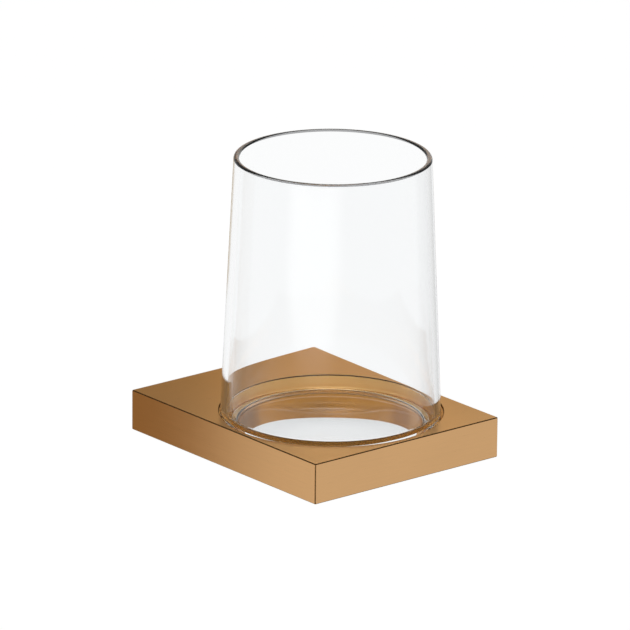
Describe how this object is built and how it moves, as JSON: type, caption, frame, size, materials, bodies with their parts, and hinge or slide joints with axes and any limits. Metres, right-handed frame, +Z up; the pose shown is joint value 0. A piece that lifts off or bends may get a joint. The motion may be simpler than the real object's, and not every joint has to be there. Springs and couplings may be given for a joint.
{
  "type": "wall tumbler holder",
  "caption": "Thick brushed block on a hidden wall bracket, with a stepped round hole that carries a loose crystal tumbler, tapered towards its rim.",
  "frame": {"origin": "on the wall plane, midway between the two wall screws of the bracket", "axes": "+Y into the wall, +X to the right seen from the room, +Z up"},
  "size_m": [0.09, 0.1115, 0.1172],
  "materials": {
    "bronze": "fine brushed, bronze toned",
    "crystal": "clear, fire polished",
    "clear_plastic": "clear, soft satin",
    "bracket_steel": "sawn and tumbled stainless",
    "screw_steel": "turned stainless"
  },
  "bodies": {
    "holder": {"holder_block": "bronze", "wall_bracket": "bracket_steel"},
    "ring": {"seat_ring": "clear_plastic"},
    "glass": {"tumbler": "crystal"},
    "left_screw": {"grub_screw_left": "screw_steel"},
    "right_screw": {"grub_screw_right": "screw_steel"}
  },
  "joints": [
    {"name": "seat_ring_spin", "type": "hinge", "parent": "holder", "child": "ring", "pos_m": [-0.0003, -0.066, 0.0005], "axis": [0, 0, 1], "continuous": true},
    {"name": "tumbler_lift", "type": "slide", "parent": "ring", "child": "glass", "axis": [0, 0, 1], "range_m": [0, 0.12]},
    {"name": "left_screw_turn", "type": "hinge", "parent": "holder", "child": "left_screw", "pos_m": [-0.009, -0.0045, -0.0065], "axis": [0, 0, -1], "range_deg": [0, 720]},
    {"name": "right_screw_turn", "type": "hinge", "parent": "holder", "child": "right_screw", "pos_m": [0.009, -0.0045, -0.0065], "axis": [0, 0, -1], "range_deg": [0, 720]}
  ]
}
